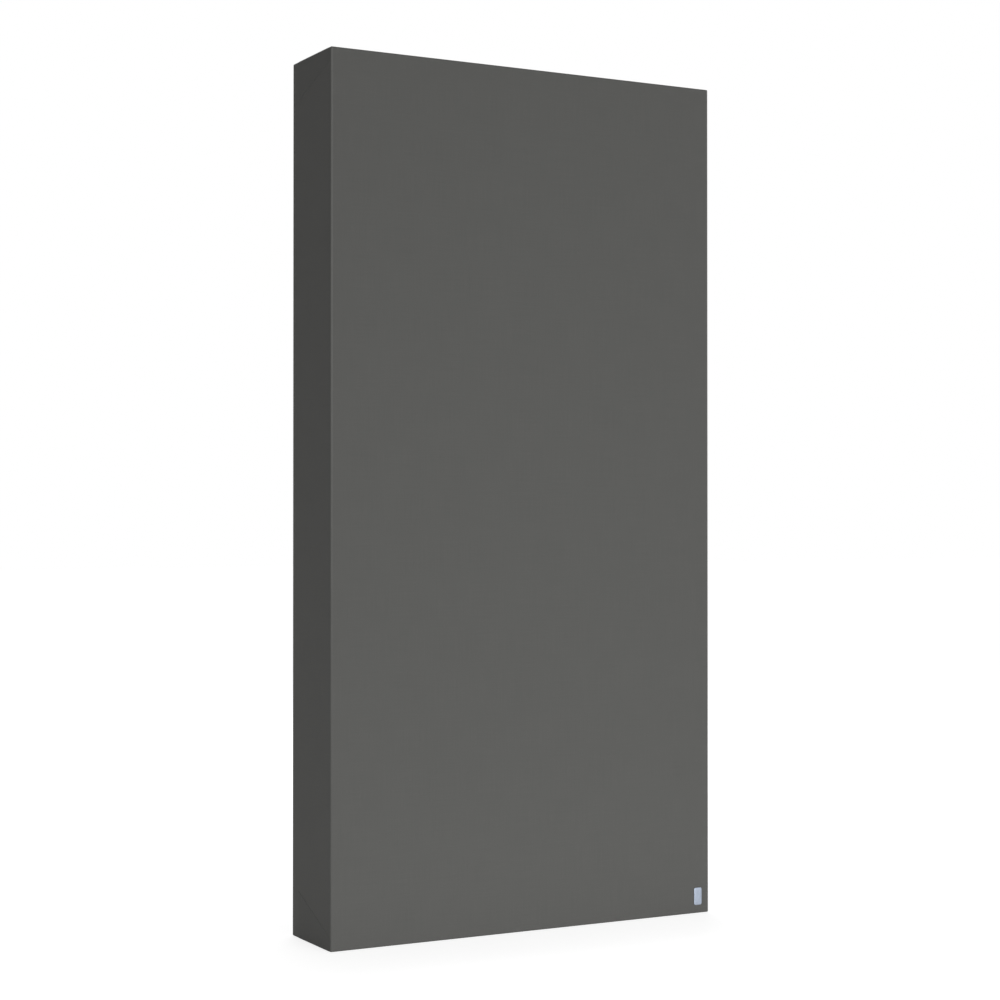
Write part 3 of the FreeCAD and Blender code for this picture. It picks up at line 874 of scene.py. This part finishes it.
sunk = CROSS_DEPTH * arm * np.clip(1 - radius / CROSS_REACH, 0, 1) ** 0.5
dome = -DOME * (radius / HEAD_RADIUS) ** 2
under = np.zeros(len(ring_radius))
under[-3:] = [0.0001, 0.0016, 0.0017]
head_y = dome - sunk * (under == 0)[:, None] - under[:, None]
head = np.stack([head_x, head_y, head_z], axis=-1).reshape(-1, 3)
head_faces = grid_faces(len(ring_radius), len(spoke))
screw_x = abs(KEYHOLE_X)
screw_places = np.array(
    [[x, hanger_high.y, z] for x in (-screw_x, screw_x) for z in (NOTCH_LOW, NOTCH_HIGH)]
)
make_piece(
    "hanger_screws",
    (screw_places[:, None, :] + head[None]).reshape(-1, 3),
    repeated(head_faces, head, len(screw_places)),
    screw_steel,
)

# %% [markdown]
# ## The small tag
# Low on the right of the front sits a small bright tag, thin metal with rounded corners. It
# stays blank. It could be a cube with a bevel; rings of one rounded outline, each a little
# smaller and higher than the last, give a softer edge that catches a thin line of light.

# %% Corner tag
# A ring = the four corner cores times its first number, plus the corner radius along the
# corner's directions times its second, at the height of its third.
TAG_WIDTH, TAG_HEIGHT, TAG_RADIUS, TAG_THICKNESS = 0.013, 0.025, 0.0025, 0.001
TAG_CENTRE = Vector((WIDTH / 2 - 0.0188, FRONT, 0.0245))
in_corner = np.radians(np.linspace(0, 90, 7))
corner_number = np.append(np.repeat(np.arange(4), len(in_corner)), 0)
tag_angle = np.append(np.tile(in_corner, 4), 0) + corner_number * np.pi / 2
corner_x = np.array([1, -1, -1, 1])[corner_number] * (TAG_WIDTH / 2 - TAG_RADIUS)
corner_z = np.array([1, 1, -1, -1])[corner_number] * (TAG_HEIGHT / 2 - TAG_RADIUS)
tag_core = np.stack([corner_x, corner_z])
rings = np.array(
    [
        [0, 0, 0],
        [1, 1, 0],
        [1, 1, 0.62],
        [1, 0.95, 0.84],
        [1, 0.86, 0.96],
        [1, 0.72, 1.0],
        [0.6, 0.4, 1.02],
        [0, 0, 1.03],
    ]
)
tag_lean = TAG_RADIUS * np.stack([np.cos(tag_angle), np.sin(tag_angle)])
outline = rings[:, 0, None, None] * tag_core + rings[:, 1, None, None] * tag_lean
tag_y = np.broadcast_to(-TAG_THICKNESS * rings[:, 2, None], outline[:, 0].shape)
tag_points = np.stack([outline[:, 0], tag_y, outline[:, 1]], axis=-1).reshape(-1, 3)
make_piece(
    "corner_tag",
    tag_points + np.array(TAG_CENTRE),
    grid_faces(len(rings), len(tag_angle)),
    metal_material("satin_silver", (0.30, 0.34, 0.41), 0.45, (1.0, 1.0, 0.03)),
)

# %% [markdown]
# ## The timber frame
# The frame is planed softwood. It shows only through the keyholes, but it is what a workshop
# would look at first. Growth rings are circles round the heart of the tree, which lies outside
# the board, so the distance from a far line gives their curve. The board's length runs along z
# in the stiles and along x in the rails, so each has its own material.


# %% Softwood
RING_PITCH = 0.0032


def softwood_material(name, lengthwise, heart):
    """Rings = a saw-tooth of the distance from the heart, bent by long slow noise."""
    made, tree = new_material(name, Roughness=0.62, Specular_IOR_Level=0.35)
    place = tree.node("ShaderNodeTexCoord", None, None, 3)
    slow = (0.06, 1.0, 1.0) if lengthwise == "x" else (1.0, 1.0, 0.06)
    bent = place.stretched(*slow).noise(9.0, detail=3.0)
    x, y, z = place.parts()
    sideways = (z if lengthwise == "x" else x) - heart[0]
    distance = (sideways * sideways + (y - heart[1]) * (y - heart[1])) ** 0.5
    rings = tree.math("FRACT", distance / RING_PITCH + bent * 5.0)
    late = rings.ease(0.35, 0.95) * (1.0 - rings.ease(0.95, 1.0))
    pores = place.stretched(*slow).noise(1400.0, detail=2.0)
    shade = late * 0.6 + pores * 0.4
    colour = shade.blend((0.68, 0.52, 0.33, 1), (0.40, 0.25, 0.12, 1))
    finish_material(
        tree,
        Base_Color=colour,
        Roughness=0.55 + pores * 0.2,
        Normal=(late * 0.5 + pores * 0.5).relief(0.0001),
    )
    return made


stile_timber = softwood_material("softwood_upright", "z", (0.05, 0.11))
rail_timber = softwood_material("softwood_level", "x", (0.06, -0.12))
for name in TIMBERS:
    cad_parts[name].data.materials.clear()
    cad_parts[name].data.materials.append(
        stile_timber if "stile" in name else rail_timber
    )
print("timbers:", TIMBERS)

# %% [markdown]
# ## Floor and light
# The photograph has a white ground and an even light: the front is close to the cloth's own
# grey, a little lighter low down, and the narrow side gets about half as much. One large soft
# lamp would give the two their ratio, but not the rise towards the floor. So low strip lamps,
# one before each face and a weak one at the toe of the front, add a few watts from below. A
# lamp behind and above is for whoever walks round the panel.
#
# The camera sees the room as white. The floor could be plain white paint, but the lamps don't
# light it evenly, and its far end would show as a grey line. So what the camera sees of it is
# half paint and half glow, and the glow grows with the distance from the panel's foot. Close
# by it stays a little under white, which paints a faint shade round the foot, and there the
# paint also shows the panel's real soft shadow.

# %% World
ROOM_LIGHT = 0.32
bpy.context.scene.view_settings.view_transform = "Standard"


def seen_directly(tree):
    """1 for rays that come from the camera, a mirror or a glass, otherwise 0."""
    rays = tree.node("ShaderNodeLightPath").socket.node.outputs
    camera_ray, glossy_ray, through_ray = (
        Wire(tree.tree, rays[name])
        for name in ("Is Camera Ray", "Is Glossy Ray", "Is Transmission Ray")
    )
    return camera_ray.at_least(glossy_ray).at_least(through_ray)


world = bpy.data.worlds.new("white_room")
world.use_nodes = True
world.node_tree.nodes.clear()
room = Wire(world.node_tree)
dim = room.node("ShaderNodeBackground", None, {"Color": (1, 1, 1, 1), "Strength": ROOM_LIGHT})
white = room.node("ShaderNodeBackground", None, {"Color": (1, 1, 1, 1), "Strength": 1.0})
either = room.node("ShaderNodeMixShader", None, {0: seen_directly(room), 1: dim, 2: white})
room.node("ShaderNodeOutputWorld", None, {"Surface": either})
bpy.context.scene.world = world

print("room light:", ROOM_LIGHT)

# %% Floor
PAINT = (0.8, 0.8, 0.8, 1)
GLOW, NEAR_GLOW, SHADOW_REACH = 1.78, (0.89, 0.89, 0.89, 1), 0.45
FLOOR_LEVEL, FLOOR_REACH = -0.0002, 20
floor_paint = bpy.data.materials.new("white_floor")
floor_paint.use_nodes = True
floor_paint.node_tree.nodes.clear()
paint = Wire(floor_paint.node_tree)
matt = paint.node("ShaderNodeBsdfDiffuse", None, {"Color": PAINT})
x, y, _ = paint.node("ShaderNodeTexCoord", None, None, 3).parts()
past_side = (abs(x) - WIDTH / 2).at_least(0.0)
past_face = (abs(y) - DEPTH / 2).at_least(0.0)
distance = (past_side * past_side + past_face * past_face) ** 0.5
# Painted shade: within SHADOW_REACH of the foot the glow is dimmer, a faint darker ring round
# the panel.
glow_colour = distance.ease(0.0, SHADOW_REACH).blend(NEAR_GLOW, (1, 1, 1, 1))
glow = paint.node("ShaderNodeEmission", None, {"Color": glow_colour, "Strength": GLOW})
share = seen_directly(paint) * 0.5
mixed = paint.node("ShaderNodeMixShader", None, {0: share, 1: matt, 2: glow})
paint.node("ShaderNodeOutputMaterial", None, {"Surface": mixed})

floor_mesh = bpy.data.meshes.new("floor")
reach = np.linspace(-FLOOR_REACH, FLOOR_REACH, 3)
floor_x, floor_y, floor_z = np.meshgrid(reach, reach, FLOOR_LEVEL)
floor_points = np.stack([floor_x, floor_y, floor_z], axis=-1).reshape(-1, 3)
floor_mesh.from_pydata(floor_points.tolist(), [], grid_faces(3, 3).tolist())
floor_mesh.materials.append(floor_paint)
floor = bpy.data.objects.new("floor", floor_mesh)
bpy.context.scene.collection.objects.link(floor)
print("floor:", 2 * FLOOR_REACH, "m wide")


# %% Lamps
def soft_lamp(name, place, target, size, watts):
    """A lamp with a wide flat face that is turned to its target."""
    light = bpy.data.lights.new(name, "AREA")
    light.shape = "RECTANGLE"
    light.size, light.size_y = size
    light.energy = watts
    lamp = bpy.data.objects.new(name, light)
    lamp.location = place
    lamp.rotation_euler = (Vector(place) - Vector(target)).to_track_quat("Z", "Y").to_euler()
    bpy.context.scene.collection.objects.link(lamp)
    print(f"{name}: {watts} W at {place}")


soft_lamp("front_lamp", (0.5, -3.6, 0.9), (0.0, 0.0, 0.5), (2.2, 1.6), 58.5)
soft_lamp("low_front_strip", (-0.05, -1.0, 0.06), (-0.05, 0.0, 0.5), (1.5, 0.12), 2.45)
soft_lamp("low_side_strip", (-1.3, 0.0, 0.06), (-0.3, 0.0, 0.5), (0.8, 0.12), 0.72)
soft_lamp("toe_strip", (-0.08, -0.30, 0.02), (-0.08, 0.0, 0.02), (0.9, 0.03), 0.18)
soft_lamp("rear_lamp", (0.9, 2.4, 2.6), (0.0, 0.2, 0.4), (2.2, 1.6), 48)
